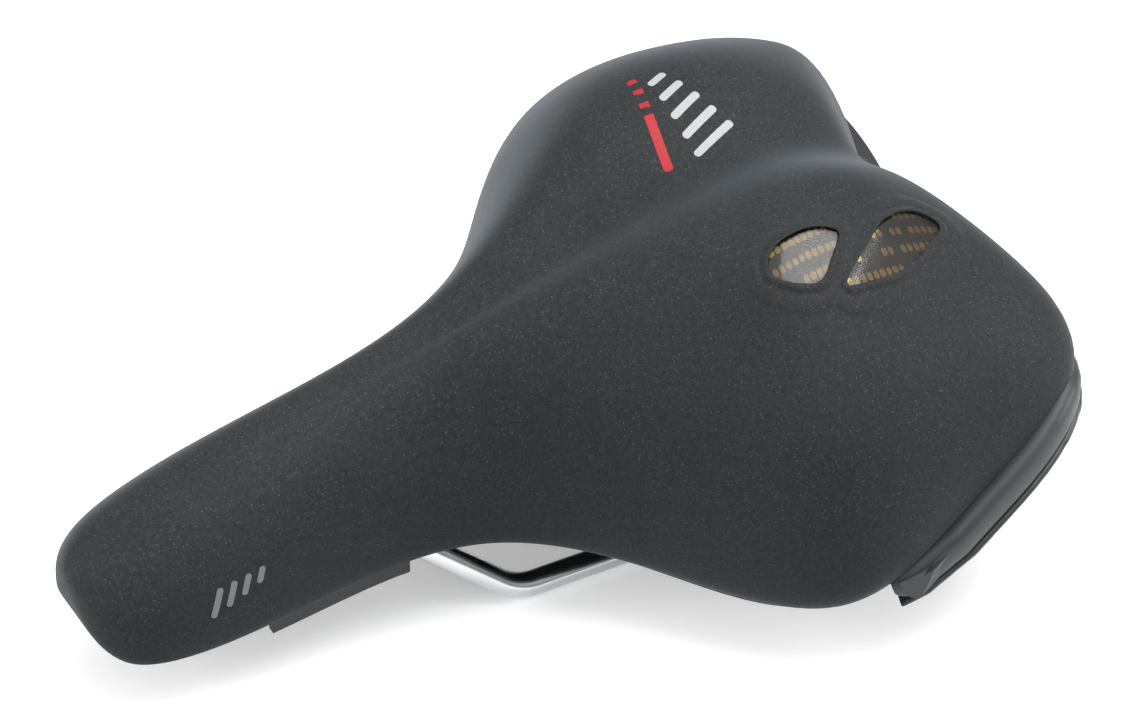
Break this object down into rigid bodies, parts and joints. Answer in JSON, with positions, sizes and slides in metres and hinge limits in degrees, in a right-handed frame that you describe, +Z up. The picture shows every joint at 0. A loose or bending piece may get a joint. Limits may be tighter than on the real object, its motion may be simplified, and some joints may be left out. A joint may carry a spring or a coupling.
{
  "type": "bicycle saddle",
  "caption": "Wide comfort bicycle saddle: seamless soft cover with two gel windows, a bent wire rail, rear elastomer springs and a wrap-round rear bumper.",
  "frame": {"origin": "middle of the straight clamp sections of the two rails, on the plane of their axes", "axes": "+Z up, nose towards -Y, rider's left is +X"},
  "size_m": [0.1964, 0.2575, 0.1104],
  "materials": {
    "rail_steel": "bright plated steel wire with a satin sheen",
    "bush_nylon": "natural nylon",
    "black_plastic": "fine moulded texture",
    "screw_steel": "zinc plated",
    "elastomer": "matte polyurethane",
    "insert_brass": "turned",
    "cover_skin": "soft-touch polyurethane with a fine grain",
    "window_film": "smoked clear film",
    "gold_film": "dark film with a gold repeat pattern",
    "gel": "translucent soft gel",
    "foam": "open moulded foam",
    "base_plastic": "moulded polypropylene",
    "bumper_plastic": "satin moulded rubber-like plastic",
    "bumper_gloss": "smooth lower lip"
  },
  "bodies": {
    "undercarriage": {"rail_wire": "rail_steel", "rail_shoe_left": "black_plastic", "rail_shoe_right": "black_plastic", "shoe_grub_screws": "screw_steel"},
    "seat": {"nose_bush": "bush_nylon", "nose_clip": "black_plastic", "nose_clip_screws": "screw_steel", "elastomer_left": "elastomer", "elastomer_right": "elastomer", "elastomer_bolt_left": "screw_steel", "elastomer_bolt_right": "screw_steel", "insert_left": "insert_brass", "insert_right": "insert_brass", "bolt_washers": "screw_steel", "cover_skin": "cover_skin", "window_front": "window_film", "window_rear": "window_film", "print_film": "gold_film", "gel_pad_left": "gel", "gel_pad_right": "gel", "foam_pad": "foam", "base_shell": "base_plastic", "rear_bumper": "bumper_plastic", "bumper_strip": "bumper_gloss", "bumper_screws": "screw_steel"}
  },
  "joints": [
    {"name": "seat_flex", "type": "hinge", "parent": "undercarriage", "child": "seat", "pos_m": [0, -0.094, 0.032], "axis": [-1, 0, 0], "range_deg": [0, 1.7], "stiffness_Nm_per_rad": 2100, "deforming": ["elastomer_left", "elastomer_right"]}
  ]
}
